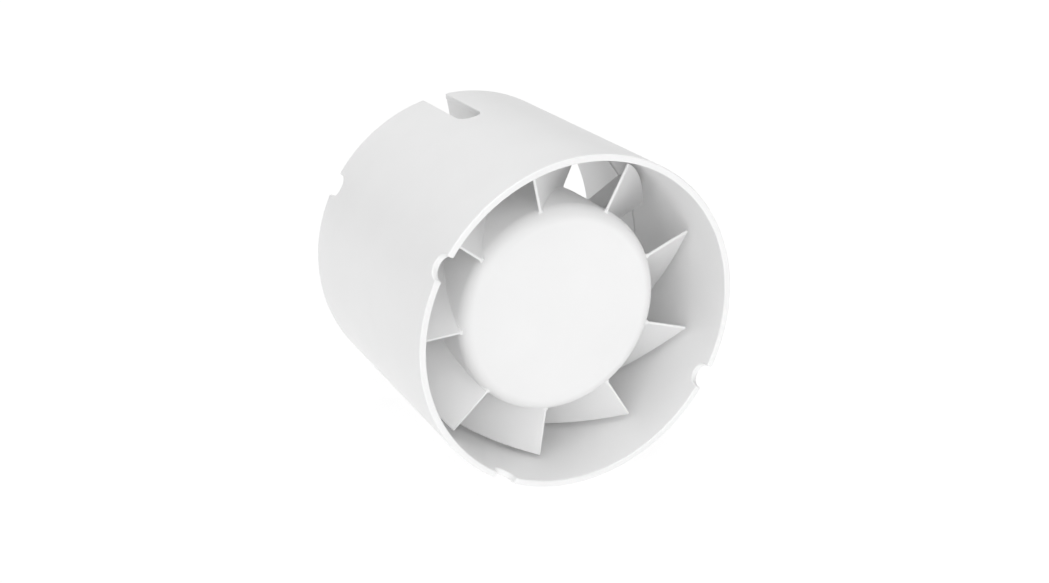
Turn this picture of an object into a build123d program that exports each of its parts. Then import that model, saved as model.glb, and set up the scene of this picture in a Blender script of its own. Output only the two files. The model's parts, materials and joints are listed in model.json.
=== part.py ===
"""In-line bathroom extractor fan for a 100 mm duct, as an assembly of separate pieces.

The duct axis is Y.  Air enters at the front rim (-Y) and leaves at the rear rim (+Y), +Z is up and
+X is to the right for someone looking into the front.  The origin is the centre of the casing tube.
All sizes are in millimetres.  Angles round the duct are clock angles: degrees clockwise from the top,
seen from the front.
"""

import os
from math import atan2, cos, degrees, hypot, radians, sin

from build123d import *

os.makedirs("parts", exist_ok=True)

# Casing tube
TUBE_RADIUS = 50.0
TUBE_BORE = 48.0
TUBE_LENGTH = 83.0
FRONT_RIM = -TUBE_LENGTH / 2
REAR_RIM = TUBE_LENGTH / 2
RIM_ROUNDING = 0.45
NOTCH_ANGLES = (120.4, 210.4, 300.4)
NOTCH_WIDTH = 7.0
FRONT_NOTCH_DEPTH = 4.4
REAR_NOTCH_DEPTH = 5.6
NOTCH_MOUTH = 0.6
CABLE_ANGLE = -9.8
CABLE_SLOT_WIDTH = 7.4
CABLE_SLOT_LENGTH = 29.0
WALL_SINK = 0.8
PARTING_DEPTH = FRONT_RIM + 51.0
PARTING_BEAD = 0.25
PARTING_WIDTH = 0.6

# Impeller
HUB_RADIUS = 31.8
HUB_FRONT = FRONT_RIM + 12.0
HUB_LENGTH = 25.0
HUB_WALL = 1.8
HUB_ROUNDING = 4.5
HUB_CONE = 0.6
HUB_RIB_THICKNESS = 1.4
HUB_RIB_LENGTH = 8.0
BOSS_RADIUS = 4.5
BOSS_LENGTH = 16.0
HUB_RIBS = 6
BLADES = 9
BLADE_ANGLE = 27.8
BLADE_LEAD_TWIST = 1.2
BLADE_TWIST_GROWTH = 0.0145
BLADE_FRONT = FRONT_RIM + 14.0
BLADE_DEPTH = 24.0
BLADE_TIP = 46.5
BLADE_EDGE_THICKNESS = 1.2
BLADE_MID_THICKNESS = 1.8
BLADE_STATIONS = 8
CLAMP_RING_THICKNESS = 1.0
CLAMP_RING_LENGTH = 3.0

# Motor cradle, moulded in one with the tube: arms, motor cup and cable trough
ARM_ANGLES = (59.0, 131.0, 203.0, 275.0)
ARM_THICKNESS = 2.4
ARM_FRONT = -0.5
ARM_LENGTH = 9.0
CUP_RADIUS = 29.5
CUP_WALL = 1.5
CUP_FRONT = -0.5
CUP_REAR = 31.0
CUP_FLOOR = 2.0
CUP_NOSE_HOLE = 8.0
INNER_BOSS = 3.0
SMALL_PILOT = 1.1
TROUGH_HALF_WIDTH = CABLE_SLOT_WIDTH / 2
TROUGH_WALL = 1.5
TROUGH_FRONT = 9.5
TROUGH_FLOOR = 1.8
TROUGH_HIGH_FROM = 40.0
TROUGH_LOW_REAR = 24.0
TROUGH_HIGH_REAR = REAR_RIM - 0.5
CABLE_WINDOW_LENGTH = 8.5
CABLE_WINDOW_WIDTH = 6.6
CABLE_WINDOW_MIDDLE = 15.8
CABLE_DIAMETER = 6.0

# Cable clamp
CLAMP_RADIUS = 36.5
CLAMP_SCREW_OFFSET = 7.9
CLAMP_BOSS = 2.8
CLAMP_THICKNESS = 2.4
CLAMP_WIDTH = 6.4

# Rear cover
COVER_THICKNESS = 2.0
COVER_SPIGOT = 1.4
COVER_SCREW_X = 21.5
COVER_SCREW_Z = 10.0
COVER_PILOT = 1.25
COVER_PILOT_DEPTH = 9.0

# Shaft line
SHAFT_RADIUS = 2.0
SHAFT_FRONT = -26.5
SHAFT_REAR = 28.5
SHAFT_SEAT = 2.01
BUSH_BORE = 2.03
BUSH_RADIUS = 4.0
BUSH_LENGTH = 5.9
BEARING_RADIUS = 7.0
BEARING_LENGTH = 6.5
FELT_RADIUS = 5.7

# Stator and rotor
CORE_FRONT = 8.0
CORE_LENGTH = 12.0
CORE_REAR = CORE_FRONT + CORE_LENGTH
CORE_HALF_WIDTH = 15.5
CORE_TOP = 12.6
POLE_BOTTOM = -11.5
CORE_BOTTOM = -21.5
SIDE_LEG_INNER = 9.5
LEG_POCKET = 2.5
LEG_TOP = -16.0
LEG_CENTRE = (LEG_TOP + CORE_BOTTOM) / 2
ROTOR_BORE = 9.0
ROTOR_RADIUS = 8.6
END_RING_LENGTH = 1.6
MOTOR_SCREW_X = 12.3
MOTOR_SCREW_Z = 9.3
MOTOR_SCREW_HOLE = 1.6
MOTOR_BOSS = 3.2
MOTOR_BOSS_FRONT = -3.6
MOTOR_PILOT = 1.5
BRACKET_THICKNESS = 2.0
BRACKET_FOOT = 3.0
FRONT_BRACKET_FACE = CORE_FRONT - BRACKET_FOOT
REAR_BRACKET_FACE = CORE_REAR + BRACKET_FOOT
SHADING_HEIGHTS = (0.6, 3.6)
SHADING_INNER = 10.3
SHADING_OUTER = 15.3
SHADING_BAR = 1.4

# Coil
BOBBIN_HALF_WIDTH = 9.3
BOBBIN_FLANGE = 1.0
BOBBIN_WALL = 0.8
BOBBIN_CLEARANCE = 0.1
WINDING_DEPTH = 2.9
TAPE_THICKNESS = 0.3
COIL_ROUNDING = 0.7

# Wiring
TERMINAL_BLOCK_WIDTH = 16.0
TERMINAL_BLOCK_FRONT = 18.0
TERMINAL_BLOCK_REAR = 29.0
TERMINAL_BLOCK_LOW = 17.0
TERMINAL_BLOCK_HIGH = 26.0
POLE_SPACING = 10.0
CAGE_DEPTH = 24.0
LEAD_RADIUS = 0.75
FUSE_RADIUS = 1.6
FUSE_LENGTH = 10.0
FUSE_DEPTH = 26.2

# Fits, gaps and small features. A screw size is thread radius, head radius and head height;
# a recess is given as a share of the head's radius, its depth as a share of the head's height.

CLOSE_FIT = 0.02
RUNNING_GAP = 0.2
LENGTH_TOLERANCE = 0.01
END_RING_BORE = 4.5
HEAD_TAPER = 14
RECESS_LENGTH = 1.1
RECESS_WIDTH = 0.28
RECESS_DEPTH = 0.55
MOTOR_SCREW_TIP = -2.6
MOTOR_SCREW_SIZE = (1.45, 2.8, 2.0)
COVER_SCREW_SIZE = (1.2, 2.7, 1.9)
CLAMP_SCREW_SIZE = (1.05, 2.3, 1.6)
BLOCK_SCREW_SIZE = (1.05, 2.1, 1.3)
COVER_SCREW_LENGTH = 8
CLAMP_SCREW_LENGTH = 6
BLOCK_SCREW_LENGTH = 6
WASHER_FRONT = 5.3
WASHER_THICKNESS = 0.9
WASHER_RADIUS = 3.6
SHAFT_CHAMFER = 0.3
CLAMP_RING_SETBACK = 0.5
CLAMP_RING_SPLIT = 1.2
BRACKET_WIDTH = 7
BRACKET_FOOT_RADIUS = 3.2
BUSH_SEAT = 2.0
FELT_GAP = 0.1
BUSH_CHAMFER = 0.2
FELT_FRONTS = (0.6, 24.8)
FELT_LENGTH = 2.6
RETAINER_FRONTS = (3.4, 24.0)
RETAINER_THICKNESS = 0.6
RETAINER_GRIP = 0.05
COVER_ROUNDING = 0.9
SPIGOT_GAP = 0.1
SPIGOT_WALL = 1.0
SPIGOT_BOSS_HOLE = 3.4
COVER_SCREW_HOLE = 1.6
CLAMP_END = 2.7
TONGUE_HALF_HEIGHT = 2.4
CLAMP_CORNER = 2.4
TONGUE_SIDE_GAP = 0.3
CLAMP_SCREW_HOLE = 1.35
TERMINAL_SCREW_INSET = 2.2
CAGE_POCKET = 2.25
CAGE_RADIUS = 2.2
CAGE_BORE = 1.4
CAGE_INSET = 0.3
TERMINAL_SCREW_WELL = 1.6
BLOCK_SCREW_HOLE = 1.4
CAGE_THREAD = 1.3
TERMINAL_SCREW_START = 1.0
TERMINAL_SCREW_LENGTH = 3.6
TERMINAL_SCREW_RADIUS = 1.25
SCREW_SLOT_LENGTH = 2.6
SCREW_SLOT_WIDTH = 0.4
SCREW_SLOT_DEPTH = 0.8
FUSE_CHAMFER = 0.4
FUSE_LINK_REACH = 2.0
LEAD_TOP = 14.8
LEAD_ENTRY = 1.6
RIB_SINK = 0.2
RIB_OVERLAP = 0.6
MOTOR_BOSS_FLOOR = 0.8
BLOCK_PILOT_DEPTH = 7
CLAMP_PILOT_DEPTH = 8
TAPE_GAP = 0.01
WINDING_END_GAP = 0.05


def front_view(depth):
    """Plane across the duct at a depth, with local x = +X, local y = +Z and its normal to the front."""
    return Plane(origin=(0, depth, 0), x_dir=(1, 0, 0), z_dir=(0, -1, 0))


def clock(radius, angle):
    """Local front_view point at a radius and a clock angle."""
    return (radius * sin(radians(angle)), radius * cos(radians(angle)))


def rim_plane(angle, end):
    """Plane facing outwards at a clock angle, its origin level with a rim (-1 front, 1 rear).

    Local y runs from the rim into the tube and local x runs round the tube.
    """
    outward = (sin(radians(angle)), 0, cos(radians(angle)))
    around = (-end * cos(radians(angle)), 0, end * sin(radians(angle)))
    return Plane(origin=(0, end * TUBE_LENGTH / 2, 0), x_dir=around, z_dir=outward)


def cut_notch(angle, end, width, depth):
    """Cut a U-shaped notch with a round bottom and softened mouth through the tube wall, from one rim."""
    half = width / 2
    mouth = NOTCH_MOUTH
    corner_x = half + mouth * (1 - sin(radians(45)))
    corner_y = mouth * (1 - sin(radians(45)))
    with BuildSketch(rim_plane(angle, end)) as notch:
        with BuildLine():
            Line((half + mouth, 0), (-half - mouth, 0))
            ThreePointArc((-half - mouth, 0), (-corner_x, corner_y), (-half, mouth))
            Line((-half, mouth), (-half, depth - half))
            ThreePointArc((-half, depth - half), (0, depth), (half, depth - half))
            Line((half, depth - half), (half, mouth))
            ThreePointArc((half, mouth), (corner_x, corner_y), (half + mouth, 0))
        make_face()
    extrude(notch.sketch, amount=TUBE_RADIUS + 5, mode=Mode.SUBTRACT)


def disc(depth, length, radius, hole=0.0, centre=(0.0, 0.0), mode=Mode.ADD):
    """Round plate or ring across the duct, from a depth towards the rear."""
    with BuildSketch(front_view(depth)) as outline:
        with Locations(centre):
            Circle(radius)
            if hole:
                Circle(hole, mode=Mode.SUBTRACT)
    extrude(outline.sketch, amount=-length, mode=mode)


def block(low, high, mode=Mode.ADD):
    """Rectangular block between two corners."""
    size = [high[axis] - low[axis] for axis in range(3)]
    middle = [(high[axis] + low[axis]) / 2 for axis in range(3)]
    with Locations(tuple(middle)):
        Box(*size, mode=mode)


def save(piece, name):
    """Label one finished piece and write its STEP file."""
    piece.label = name
    export_step(piece, f"parts/{name}.step")


def pan_screw(tip, head_seat, thread_radius, head_radius, head_height, centre):
    """Pan-head cross-recess screw driven from the rear, its head seated at a depth."""
    disc(tip, head_seat - tip, thread_radius, centre=centre)
    with BuildSketch(front_view(head_seat)) as head:
        with Locations(centre):
            Circle(head_radius)
    extrude(head.sketch, amount=-head_height, taper=HEAD_TAPER)
    with BuildSketch(front_view(head_seat + head_height)) as recess:
        with Locations(centre):
            Rectangle(head_radius * RECESS_LENGTH, head_radius * RECESS_WIDTH)
            Rectangle(head_radius * RECESS_WIDTH, head_radius * RECESS_LENGTH)
    extrude(recess.sketch, amount=head_height * RECESS_DEPTH, mode=Mode.SUBTRACT)


# Cable trough planes: turned so that local y points up along the trough

TROUGH_X = Vector(cos(radians(CABLE_ANGLE)), 0, -sin(radians(CABLE_ANGLE)))
TROUGH_UP = Vector(sin(radians(CABLE_ANGLE)), 0, cos(radians(CABLE_ANGLE)))


def trough_view(depth):
    """Plane across the duct at a depth, its local y pointing up along the cable trough."""
    return Plane(origin=(0, depth, 0), x_dir=TROUGH_X, z_dir=(0, -1, 0))


def trough_block(half_width, inner, outer, front, rear, centre=0.0, mode=Mode.ADD):
    """Block in the trough, between two radii and two depths."""
    with BuildSketch(trough_view(front)) as outline:
        with Locations((centre, (inner + outer) / 2)):
            Rectangle(2 * half_width, outer - inner)
    extrude(outline.sketch, amount=front - rear, mode=mode)


# Casing: one moulding of the notched tube, the motor cup on its arms, and the trough for the cable

wall_middle = TROUGH_HALF_WIDTH + TROUGH_WALL / 2
wall_foot = CUP_RADIUS - WALL_SINK
wall_top = TUBE_BORE + WALL_SINK
wall_half = TROUGH_WALL / 2
block_middle = (TERMINAL_BLOCK_LOW + TERMINAL_BLOCK_HIGH) / 2

with BuildPart() as casing:
    disc(FRONT_RIM, TUBE_LENGTH, TUBE_RADIUS, hole=TUBE_BORE)
    fillet(casing.edges().filter_by(GeomType.CIRCLE), RIM_ROUNDING)
    for angle in NOTCH_ANGLES:
        cut_notch(angle, -1, NOTCH_WIDTH, FRONT_NOTCH_DEPTH)
        cut_notch(angle, 1, NOTCH_WIDTH, REAR_NOTCH_DEPTH)
    bead_front = PARTING_DEPTH - PARTING_WIDTH / 2
    disc(bead_front, PARTING_WIDTH, TUBE_BORE + WALL_SINK, hole=TUBE_BORE - PARTING_BEAD)
    with BuildSketch(front_view(ARM_FRONT)):
        for angle in ARM_ANGLES:
            with Locations(Location(clock((wall_foot + wall_top) / 2, angle) + (0,), (0, 0, 90 - angle))):
                Rectangle(wall_top - wall_foot, ARM_THICKNESS)
    extrude(amount=-ARM_LENGTH)
    for side in (-1, 1):
        centre = side * wall_middle
        trough_block(wall_half, wall_foot, wall_top, TROUGH_FRONT, TROUGH_LOW_REAR, centre=centre)
        trough_block(wall_half, TROUGH_HIGH_FROM, wall_top, TROUGH_FRONT, TROUGH_HIGH_REAR, centre=centre)
        with BuildSketch(trough_view(TROUGH_FRONT)):
            with Locations((side * CLAMP_SCREW_OFFSET, CLAMP_RADIUS)):
                Circle(CLAMP_BOSS)
        extrude(amount=TROUGH_FRONT - TROUGH_LOW_REAR)
    floor_half = TROUGH_HALF_WIDTH + TROUGH_WALL
    trough_block(floor_half, wall_foot, wall_top, TROUGH_FRONT, TROUGH_FRONT + TROUGH_FLOOR)
    cut_notch(CABLE_ANGLE, 1, CABLE_SLOT_WIDTH, CABLE_SLOT_LENGTH)
    disc(CUP_FRONT, CUP_REAR - CUP_FRONT, CUP_RADIUS)
    disc(CUP_FRONT + CUP_FLOOR, CUP_REAR, CUP_RADIUS - CUP_WALL, mode=Mode.SUBTRACT)
    for side in (-1, 1):
        screw_centre = (side * MOTOR_SCREW_X, side * MOTOR_SCREW_Z)
        boss_length = FRONT_BRACKET_FACE - BRACKET_THICKNESS - MOTOR_BOSS_FRONT
        disc(MOTOR_BOSS_FRONT, boss_length, MOTOR_BOSS, centre=screw_centre)
        disc(MOTOR_BOSS_FRONT + MOTOR_BOSS_FLOOR, boss_length, MOTOR_PILOT, centre=screw_centre, mode=Mode.SUBTRACT)
        cover_boss = (side * COVER_SCREW_X, COVER_SCREW_Z)
        disc(CUP_FRONT, CUP_REAR - CUP_FRONT, INNER_BOSS, centre=cover_boss)
        disc(CUP_REAR - COVER_PILOT_DEPTH, 10, COVER_PILOT, centre=cover_boss, mode=Mode.SUBTRACT)
    terminal_post = (0, block_middle)
    disc(CUP_FRONT, TERMINAL_BLOCK_FRONT - CUP_FRONT, INNER_BOSS, centre=terminal_post)
    post_pilot_front = TERMINAL_BLOCK_FRONT - BLOCK_PILOT_DEPTH
    disc(post_pilot_front, BLOCK_PILOT_DEPTH + 1, SMALL_PILOT, centre=terminal_post, mode=Mode.SUBTRACT)
    disc(CUP_FRONT - 1, CUP_FLOOR + 2, CUP_NOSE_HOLE, mode=Mode.SUBTRACT)
    with BuildSketch(Plane(origin=(0, CABLE_WINDOW_MIDDLE, 0), x_dir=TROUGH_X, z_dir=TROUGH_UP)):
        SlotOverall(CABLE_WINDOW_LENGTH, CABLE_WINDOW_WIDTH, rotation=90)
    extrude(amount=CUP_RADIUS + 4, mode=Mode.SUBTRACT)
    for side in (-1, 1):
        with BuildSketch(trough_view(TROUGH_LOW_REAR - CLAMP_PILOT_DEPTH)):
            with Locations((side * CLAMP_SCREW_OFFSET, CLAMP_RADIUS)):
                Circle(SMALL_PILOT)
        extrude(amount=-(CLAMP_PILOT_DEPTH + 2), mode=Mode.SUBTRACT)
save(casing.part, "casing")

# Impeller: cup-shaped hub with a boss and ribs inside, and twisted blades round its skirt

with BuildPart() as blade:
    for station in range(BLADE_STATIONS + 1):
        share = station / BLADE_STATIONS
        depth = BLADE_DEPTH * share
        angle = BLADE_ANGLE + BLADE_LEAD_TWIST * depth + BLADE_TWIST_GROWTH * depth**2
        thickness = BLADE_EDGE_THICKNESS
        thickness += (BLADE_MID_THICKNESS - BLADE_EDGE_THICKNESS) * sin(radians(180 * share))
        with BuildSketch(front_view(BLADE_FRONT + depth)):
            root = HUB_RADIUS - HUB_WALL / 2
            with Locations(Location(clock((root + BLADE_TIP) / 2, angle) + (0,), (0, 0, 90 - angle))):
                Rectangle(BLADE_TIP - root, thickness)
    loft()

with BuildPart() as impeller:
    with BuildSketch(Plane.XY):
        with BuildLine():
            Polyline(
                (0, HUB_FRONT - HUB_CONE),
                (HUB_RADIUS, HUB_FRONT),
                (HUB_RADIUS, HUB_FRONT + HUB_LENGTH),
                (HUB_RADIUS - HUB_WALL, HUB_FRONT + HUB_LENGTH),
                (HUB_RADIUS - HUB_WALL, HUB_FRONT + HUB_WALL),
                (BOSS_RADIUS, HUB_FRONT + HUB_WALL),
                (BOSS_RADIUS, HUB_FRONT + BOSS_LENGTH),
                (SHAFT_SEAT, HUB_FRONT + BOSS_LENGTH),
                (SHAFT_SEAT, SHAFT_FRONT - RUNNING_GAP),
                (0, SHAFT_FRONT - RUNNING_GAP),
                close=True,
            )
        make_face()
    revolve(axis=Axis.Y)
    outer_circles = impeller.edges().filter_by(GeomType.CIRCLE).group_by(Axis.Y)
    fillet(outer_circles[0], HUB_ROUNDING)
    bore_width = 2 * (HUB_RADIUS - HUB_WALL)
    bore_edges = impeller.edges().filter_by(lambda edge: abs(edge.bounding_box().size.X - bore_width) < LENGTH_TOLERANCE)
    fillet(bore_edges.sort_by(Axis.Y)[0], HUB_ROUNDING - HUB_WALL)
    with BuildSketch(front_view(HUB_FRONT + HUB_WALL - RIB_SINK)):
        with PolarLocations((BOSS_RADIUS + HUB_RADIUS - HUB_WALL) / 2, HUB_RIBS):
            Rectangle(HUB_RADIUS - HUB_WALL - BOSS_RADIUS + RIB_OVERLAP, HUB_RIB_THICKNESS)
    extrude(amount=-HUB_RIB_LENGTH)
    for number in range(BLADES):
        add(blade.part, rotation=(0, number * 360 / BLADES, 0))
save(impeller.part, "impeller")

with BuildPart() as boss_clamp_ring:
    ring_depth = HUB_FRONT + BOSS_LENGTH - CLAMP_RING_LENGTH - CLAMP_RING_SETBACK
    ring_bore = BOSS_RADIUS + CLOSE_FIT
    disc(ring_depth, CLAMP_RING_LENGTH, ring_bore + CLAMP_RING_THICKNESS, hole=ring_bore)
    with BuildSketch(front_view(ring_depth)):
        with Locations((0, ring_bore)):
            Rectangle(CLAMP_RING_SPLIT, 2.5 * CLAMP_RING_THICKNESS)
    extrude(amount=-CLAMP_RING_LENGTH, mode=Mode.SUBTRACT)
save(boss_clamp_ring.part, "boss_clamp_ring")

# Shaft line of the motor

with BuildPart() as motor_shaft:
    disc(SHAFT_FRONT, SHAFT_REAR - SHAFT_FRONT, SHAFT_RADIUS)
    chamfer(motor_shaft.edges().filter_by(GeomType.CIRCLE), SHAFT_CHAMFER)
save(motor_shaft.part, "motor_shaft")

with BuildPart() as rotor_core:
    disc(CORE_FRONT, CORE_LENGTH, ROTOR_RADIUS, hole=SHAFT_SEAT)
save(rotor_core.part, "rotor_core")

with BuildPart() as rotor_end_rings:
    for depth in (CORE_FRONT - END_RING_LENGTH, CORE_REAR):
        disc(depth, END_RING_LENGTH, ROTOR_RADIUS - RUNNING_GAP, hole=END_RING_BORE)
save(rotor_end_rings.part, "rotor_end_rings")

with BuildPart() as shaft_washers:
    for depth in (WASHER_FRONT, CORE_REAR + END_RING_LENGTH + RUNNING_GAP):
        disc(depth, WASHER_THICKNESS, WASHER_RADIUS, hole=SHAFT_SEAT)
save(shaft_washers.part, "shaft_washers")

# Stator: C-shaped laminated frame, the straight leg that carries the coil, and shading rings

with BuildPart() as stator_core:
    with BuildSketch(front_view(CORE_FRONT)):
        with BuildLine():
            Polyline(
                (-CORE_HALF_WIDTH, CORE_TOP),
                (CORE_HALF_WIDTH, CORE_TOP),
                (CORE_HALF_WIDTH, CORE_BOTTOM),
                (SIDE_LEG_INNER + LEG_POCKET, CORE_BOTTOM),
                (SIDE_LEG_INNER + LEG_POCKET, LEG_TOP),
                (SIDE_LEG_INNER, LEG_TOP),
                (SIDE_LEG_INNER, POLE_BOTTOM),
                (-SIDE_LEG_INNER, POLE_BOTTOM),
                (-SIDE_LEG_INNER, LEG_TOP),
                (-SIDE_LEG_INNER - LEG_POCKET, LEG_TOP),
                (-SIDE_LEG_INNER - LEG_POCKET, CORE_BOTTOM),
                (-CORE_HALF_WIDTH, CORE_BOTTOM),
                close=True,
            )
        make_face()
        Circle(ROTOR_BORE, mode=Mode.SUBTRACT)
        with Locations((MOTOR_SCREW_X, MOTOR_SCREW_Z), (-MOTOR_SCREW_X, -MOTOR_SCREW_Z)):
            Circle(MOTOR_SCREW_HOLE, mode=Mode.SUBTRACT)
        for side in (-1, 1):
            for height in SHADING_HEIGHTS:
                with Locations((side * (SHADING_INNER + SHADING_BAR / 2), side * height)):
                    Rectangle(SHADING_BAR + RUNNING_GAP, SHADING_BAR + 2 * RUNNING_GAP, mode=Mode.SUBTRACT)
                with Locations((side * CORE_HALF_WIDTH, side * height)):
                    Rectangle(2 * (SHADING_BAR + 2 * RUNNING_GAP), SHADING_BAR + 2 * RUNNING_GAP, mode=Mode.SUBTRACT)
    extrude(amount=-CORE_LENGTH)
save(stator_core.part, "stator_core")

with BuildPart() as core_leg:
    leg_end = SIDE_LEG_INNER + LEG_POCKET - CLOSE_FIT
    block((-leg_end, CORE_FRONT, CORE_BOTTOM), (leg_end, CORE_REAR, LEG_TOP - CLOSE_FIT))
save(core_leg.part, "core_leg")

with BuildPart() as shading_rings:
    for side in (-1, 1):
        for height in SHADING_HEIGHTS:
            with BuildSketch(Plane.XY.offset(side * height - SHADING_BAR / 2)):
                loop_width = SHADING_OUTER - SHADING_INNER
                loop_length = CORE_LENGTH + RUNNING_GAP + 2 * SHADING_BAR
                with Locations((side * (SHADING_INNER + SHADING_OUTER) / 2, (CORE_FRONT + CORE_REAR) / 2)):
                    RectangleRounded(loop_width, loop_length, 0.6)
                    inner_size = (loop_width - 2 * SHADING_BAR, loop_length - 2 * SHADING_BAR)
                    Rectangle(*inner_size, mode=Mode.SUBTRACT)
            extrude(amount=SHADING_BAR)
save(shading_rings.part, "shading_rings")

# Coil: moulded bobbin round the core leg, copper winding and its tape

bobbin_bore_z = (LEG_TOP - CORE_BOTTOM) / 2 + BOBBIN_CLEARANCE
bobbin_bore_y = CORE_LENGTH / 2 + BOBBIN_CLEARANCE
barrel_z = bobbin_bore_z + BOBBIN_WALL
barrel_y = bobbin_bore_y + BOBBIN_WALL
core_middle = (CORE_FRONT + CORE_REAR) / 2


def coil_layer(part_name, inner, outer, half_length):
    """Rectangular sleeve round the core leg, between two sizes given beyond the bobbin barrel."""
    with BuildPart() as layer:
        with BuildSketch(Plane.YZ.offset(-half_length)):
            with Locations((core_middle, LEG_CENTRE)):
                RectangleRounded(2 * (barrel_y + outer), 2 * (barrel_z + outer), outer * COIL_ROUNDING)
                inner_size = (2 * (barrel_y + inner), 2 * (barrel_z + inner))
                RectangleRounded(*inner_size, inner * COIL_ROUNDING, mode=Mode.SUBTRACT)
        extrude(amount=2 * half_length)
    save(layer.part, part_name)
    return layer.part


with BuildPart() as coil_bobbin:
    with BuildSketch(Plane.YZ.offset(-BOBBIN_HALF_WIDTH)):
        with Locations((core_middle, LEG_CENTRE)):
            RectangleRounded(2 * (barrel_y + 3.4), 2 * (barrel_z + 3.2), 1.0)
    extrude(amount=2 * BOBBIN_HALF_WIDTH)
    with BuildSketch(Plane.YZ.offset(-BOBBIN_HALF_WIDTH + BOBBIN_FLANGE)):
        with Locations((core_middle, LEG_CENTRE)):
            Rectangle(40, 40)
            Rectangle(2 * barrel_y, 2 * barrel_z, mode=Mode.SUBTRACT)
    extrude(amount=2 * (BOBBIN_HALF_WIDTH - BOBBIN_FLANGE), mode=Mode.SUBTRACT)
    with BuildSketch(Plane.YZ.offset(-BOBBIN_HALF_WIDTH)):
        with Locations((core_middle, LEG_CENTRE)):
            Rectangle(2 * bobbin_bore_y, 2 * bobbin_bore_z)
    extrude(amount=2 * BOBBIN_HALF_WIDTH, mode=Mode.SUBTRACT)
save(coil_bobbin.part, "coil_bobbin")

winding_half_length = BOBBIN_HALF_WIDTH - BOBBIN_FLANGE - WINDING_END_GAP
coil_layer("coil_winding", CLOSE_FIT, WINDING_DEPTH, winding_half_length)
coil_layer("coil_tape", WINDING_DEPTH + TAPE_GAP, WINDING_DEPTH + TAPE_THICKNESS, winding_half_length)

# Bearing brackets with their bushes, oil felts and retainers

BRACKET_REACH = hypot(MOTOR_SCREW_X, MOTOR_SCREW_Z)
BRACKET_TURN = degrees(atan2(MOTOR_SCREW_Z, MOTOR_SCREW_X))
FRONT_BUSH_FRONT = -1.3
REAR_BUSH_FRONT = REAR_BRACKET_FACE + 0.4


def bearing_bracket(strap_front, foot_front, housing_front, seat_front, pocket_front):
    """Diagonal strap with two feet and a bearing housing, each given by its front face."""
    with BuildPart() as bracket:
        with BuildSketch(front_view(strap_front)):
            SlotCenterToCenter(2 * BRACKET_REACH, BRACKET_WIDTH, rotation=BRACKET_TURN)
        extrude(amount=-BRACKET_THICKNESS)
        for side in (-1, 1):
            disc(foot_front, BRACKET_FOOT, BRACKET_FOOT_RADIUS, centre=(side * MOTOR_SCREW_X, side * MOTOR_SCREW_Z))
        disc(housing_front, BEARING_LENGTH, BEARING_RADIUS)
        disc(seat_front, BUSH_SEAT, BUSH_RADIUS + CLOSE_FIT, mode=Mode.SUBTRACT)
        disc(pocket_front, BEARING_LENGTH - BUSH_SEAT, FELT_RADIUS + FELT_GAP, mode=Mode.SUBTRACT)
        for side in (-1, 1):
            centre = (side * MOTOR_SCREW_X, side * MOTOR_SCREW_Z)
            disc(strap_front - 4, 9, MOTOR_SCREW_HOLE, centre=centre, mode=Mode.SUBTRACT)
    return bracket.part


front_bearing_bracket = bearing_bracket(
    FRONT_BRACKET_FACE - BRACKET_THICKNESS,
    FRONT_BRACKET_FACE,
    FRONT_BRACKET_FACE - BEARING_LENGTH,
    FRONT_BRACKET_FACE - BEARING_LENGTH,
    FRONT_BRACKET_FACE - BEARING_LENGTH + BUSH_SEAT,
)
save(front_bearing_bracket, "front_bearing_bracket")
rear_bearing_bracket = bearing_bracket(
    REAR_BRACKET_FACE,
    CORE_REAR,
    REAR_BRACKET_FACE,
    REAR_BRACKET_FACE + BEARING_LENGTH - BUSH_SEAT,
    REAR_BRACKET_FACE,
)
save(rear_bearing_bracket, "rear_bearing_bracket")

for name, bush_front in (("front_bush", FRONT_BUSH_FRONT), ("rear_bush", REAR_BUSH_FRONT)):
    with BuildPart() as bush:
        disc(bush_front, BUSH_LENGTH, BUSH_RADIUS, hole=BUSH_BORE)
        chamfer(bush.edges().filter_by(GeomType.CIRCLE), BUSH_CHAMFER)
    save(bush.part, name)

with BuildPart() as oil_felts:
    for felt_front in FELT_FRONTS:
        disc(felt_front, FELT_LENGTH, FELT_RADIUS, hole=BUSH_RADIUS + CLOSE_FIT)
save(oil_felts.part, "oil_felts")

with BuildPart() as bush_retainers:
    for retainer_front in RETAINER_FRONTS:
        disc(retainer_front, RETAINER_THICKNESS, FELT_RADIUS + RETAINER_GRIP, hole=BUSH_RADIUS + CLOSE_FIT)
save(bush_retainers.part, "bush_retainers")

with BuildPart() as motor_screws:
    for side in (-1, 1):
        centre = (side * MOTOR_SCREW_X, side * MOTOR_SCREW_Z)
        pan_screw(MOTOR_SCREW_TIP, REAR_BRACKET_FACE + BRACKET_THICKNESS, *MOTOR_SCREW_SIZE, centre)
save(motor_screws.part, "motor_screws")

# Rear cover and its screws

with BuildPart() as rear_cover:
    disc(CUP_REAR, COVER_THICKNESS, CUP_RADIUS)
    fillet(rear_cover.edges().filter_by(GeomType.CIRCLE).group_by(Axis.Y)[-1], COVER_ROUNDING)
    spigot_radius = CUP_RADIUS - CUP_WALL - SPIGOT_GAP
    disc(CUP_REAR - COVER_SPIGOT, COVER_SPIGOT, spigot_radius, hole=spigot_radius - SPIGOT_WALL)
    for side in (-1, 1):
        cover_boss = (side * COVER_SCREW_X, COVER_SCREW_Z)
        disc(CUP_REAR - COVER_SPIGOT, COVER_SPIGOT, SPIGOT_BOSS_HOLE, centre=cover_boss, mode=Mode.SUBTRACT)
        disc(CUP_REAR - 2, 6, COVER_SCREW_HOLE, centre=cover_boss, mode=Mode.SUBTRACT)
save(rear_cover.part, "rear_cover")

with BuildPart() as cover_screws:
    for side in (-1, 1):
        cover_boss = (side * COVER_SCREW_X, COVER_SCREW_Z)
        pan_screw(CUP_REAR - COVER_SCREW_LENGTH, CUP_REAR + COVER_THICKNESS, *COVER_SCREW_SIZE, cover_boss)
save(cover_screws.part, "cover_screws")

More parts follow.
